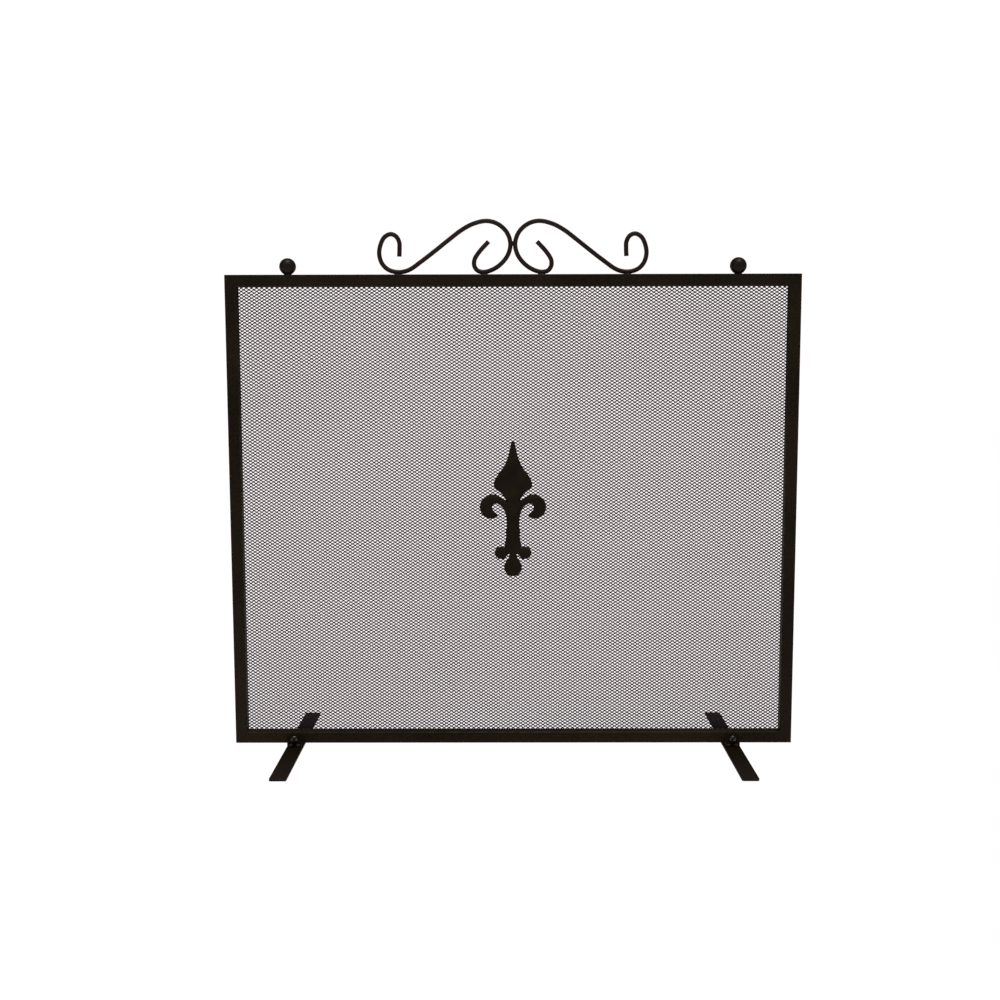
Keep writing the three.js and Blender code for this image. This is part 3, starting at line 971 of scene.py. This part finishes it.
def make_emblem_fixings():
    edge = WASHER_EDGE
    for number, place in enumerate(("lower", "upper")):
        low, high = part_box(f"emblem_washer_{place}")
        centre = ((low.x + high.x) / 2, 0, (low.z + high.z) / 2)
        rim = (high.x - low.x) / 2
        profile = [
            (rim - edge, low.y), (rim, low.y + edge), (rim, high.y - edge * 1.6),
            (rim - edge * 1.6, high.y), (rim * 0.5, high.y),
        ]
        skin = Skin()
        skin.loft(turned(profile, centre, (0, 1, 0), 48, [0.2, 0.8, 0.9, 0.5, 0.1]))
        node = f"emblem_washer_{place}"
        piece(f"washer_{place}", skin, screw_steel, [node], sharp_degrees=35)
        cross_head(f"emblem_screw_{place}", high.y + SEAT, spin=0.6 + number)


# ---------------------------------------------------------------- feet


def foot_flat(side):
    low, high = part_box(f"foot_bar_{side}")
    centre = ((low.x + high.x) / 2, (low.y + high.y) / 2)
    outline = rounded_rectangle(centre, (high.x - low.x, high.y - low.y), [FOOT["corner"]] * 4, 7)
    skin = Skin()
    skin.loft(slab(outline, low.z, high.z, FOOT["edge"], level))
    piece(f"foot_bar_{side}_flat", skin, foot_coat_painted_shade, [f"foot_bar_{side}"])


def foot_tab(side, bar_top):
    """The tab, carried down to the bar, with its two lower corners square."""
    low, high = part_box(f"foot_tab_{side}")
    base = bar_top - TAB["sunk"]
    centre = ((low.x + high.x) / 2, (base + high.z) / 2)
    radii = [TAB["bottom_corner"]] * 2 + [TAB["top_corner"]] * 2
    face = rounded_rectangle(centre, (high.x - low.x, high.z - base), radii, 8)
    skin = Skin()
    skin.loft(slab(face, low.y, high.y, FOOT["edge"], upright))
    piece(f"foot_tab_{side}_plate", skin, foot_coat_painted_shade, [f"foot_tab_{side}"])


def foot_welds(side, bar_top):
    """Two lumps of weld in front of the tab, and a bead along the back of it."""
    front, rear = WELD["foot_front"], WELD["foot_rear"]
    low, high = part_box(f"foot_tab_{side}")
    middle_x = (low.x + high.x) / 2
    skin = Skin()
    y, z = low.y + front["sunk"], bar_top + front["above"]
    for end in (-1, 1):
        x = middle_x + end * front["apart"]
        start, stop = (x - front["reach"], y, z), (x + front["reach"], y, z)
        skin.loft(bead(start, stop, front["radius"], 2, seed=x * 11 + end))
    y, z = high.y + rear["above"], bar_top + rear["above"]
    start, stop = (low.x + rear["from_edge"], y, z), (high.x - rear["from_edge"], y, z)
    skin.loft(bead(start, stop, rear["radius"], 7, seed=middle_x))
    piece(f"foot_weld_{side}", skin, rod_coat)


def foot_screw(side, spin):
    node = f"foot_screw_{side}"
    low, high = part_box(node)
    seat = Vector(((low.x + high.x) / 2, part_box(f"foot_tab_{side}")[0].y - SEAT, (low.z + high.z) / 2))
    socket = hexagon_recess(HEX_SOCKET["across_flats"])
    skin = Skin()
    radius, height = (high.x - low.x) / 2, seat.y - low.y
    skin.loft(screw_head(seat, (0, -1, 0), radius, height, socket, HEX_SOCKET["depth"], spin))
    piece(f"{node}_head", skin, screw_steel, [node], sharp_degrees=35)


def foot_insert(side):
    """The rim of the threaded insert between the tab and the rail."""
    node = f"foot_insert_{side}"
    low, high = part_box(node)
    rim, edge = (high.x - low.x) / 2, INSERT_EDGE
    rail_face = frame_low.y
    profile = [(rim - edge, low.y), (rim, low.y + edge), (rim, rail_face), (rim * 0.7, rail_face)]
    centre = ((low.x + high.x) / 2, 0, (low.z + high.z) / 2)
    skin = Skin()
    skin.loft(turned(profile, centre, (0, 1, 0), 36, [0.3, 0.6, 0.2, 0.0]))
    piece(f"{node}_flange", skin, screw_steel, [node], sharp_degrees=35)


def make_foot(side, spin):
    bar_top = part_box(f"foot_bar_{side}")[1].z
    foot_flat(side)
    foot_tab(side, bar_top)
    foot_welds(side, bar_top)
    foot_screw(side, spin)
    foot_insert(side)


# ---------------------------------------------------------------- studio


def make_camera():
    data = bpy.data.cameras.new("photo_camera")
    data.lens = CAMERA["lens"]
    data.sensor_width = 36.0
    camera = bpy.data.objects.new("photo_camera", data)
    bpy.context.scene.collection.objects.link(camera)
    turn = (
        Matrix.Rotation(CAMERA["yaw"], 4, "Z")
        @ Matrix.Rotation(math.pi / 2 - CAMERA["pitch"], 4, "X")
        @ Matrix.Rotation(CAMERA["roll"], 4, "Z")
    )
    camera.matrix_world = Matrix.Translation(CAMERA["place"]) @ turn
    bpy.context.scene.camera = camera


def make_floor():
    reach = FLOOR_REACH
    corners = [(-reach, -reach, 0), (reach, -reach, 0), (reach, reach, 0), (-reach, reach, 0)]
    mesh = bpy.data.meshes.new("studio_floor")
    mesh.from_pydata(corners, [], [(0, 1, 2, 3)])
    mesh.materials.append(floor_paper("floor_paper"))
    floor = bpy.data.objects.new("studio_floor", mesh)
    bpy.context.scene.collection.objects.link(floor)


def make_world():
    """A white studio: bright where the camera sees it, softer as a light."""
    world = bpy.data.worlds.new("studio")
    world.use_nodes = True
    nodes, links = world.node_tree.nodes, world.node_tree.links
    nodes.clear()
    seen = nodes.new("ShaderNodeBackground")
    seen.inputs["Color"].default_value = BACKDROP["colour"]
    seen.inputs["Strength"].default_value = BACKDROP["glow"]
    light = nodes.new("ShaderNodeBackground")
    light.inputs["Color"].default_value = (1, 1, 1, 1)
    light.inputs["Strength"].default_value = FILL
    mix = nodes.new("ShaderNodeMixShader")
    path = nodes.new("ShaderNodeLightPath")
    out = nodes.new("ShaderNodeOutputWorld")
    links.new(path.outputs["Is Camera Ray"], mix.inputs["Fac"])
    links.new(light.outputs["Background"], mix.inputs[1])
    links.new(seen.outputs["Background"], mix.inputs[2])
    links.new(mix.outputs["Shader"], out.inputs["Surface"])
    bpy.context.scene.world = world


def add_light(name, data, place, target):
    light = bpy.data.objects.new(name, data)
    bpy.context.scene.collection.objects.link(light)
    light.location = place
    light.rotation_euler = (Vector(target) - Vector(place)).to_track_quat("-Z", "Y").to_euler()


def make_lights():
    data = bpy.data.lights.new("overhead", "SUN")
    data.energy = SUN["strength"]
    data.angle = math.radians(SUN["angle"])
    add_light("overhead", data, SUN["place"], (0, 0, 0))
    for name, light in AREA_LIGHTS.items():
        data = bpy.data.lights.new(name, "AREA")
        data.energy = light["power"]
        data.shape = "RECTANGLE"
        data.size, data.size_y = light["size"]
        add_light(name, data, light["place"], AREA_LIGHT_TARGET)


make_camera()
make_floor()
make_world()
make_lights()
bpy.context.scene.view_settings.view_transform = "Standard"

make_frame()
corner_welds()
make_mesh()
make_strips()
make_strip_screws()
make_scrolls()
scroll_welds()
make_finials()
make_emblem()
make_emblem_fixings()
for side, spin in (("left", 0.35), ("right", 1.25)):
    make_foot(side, spin)
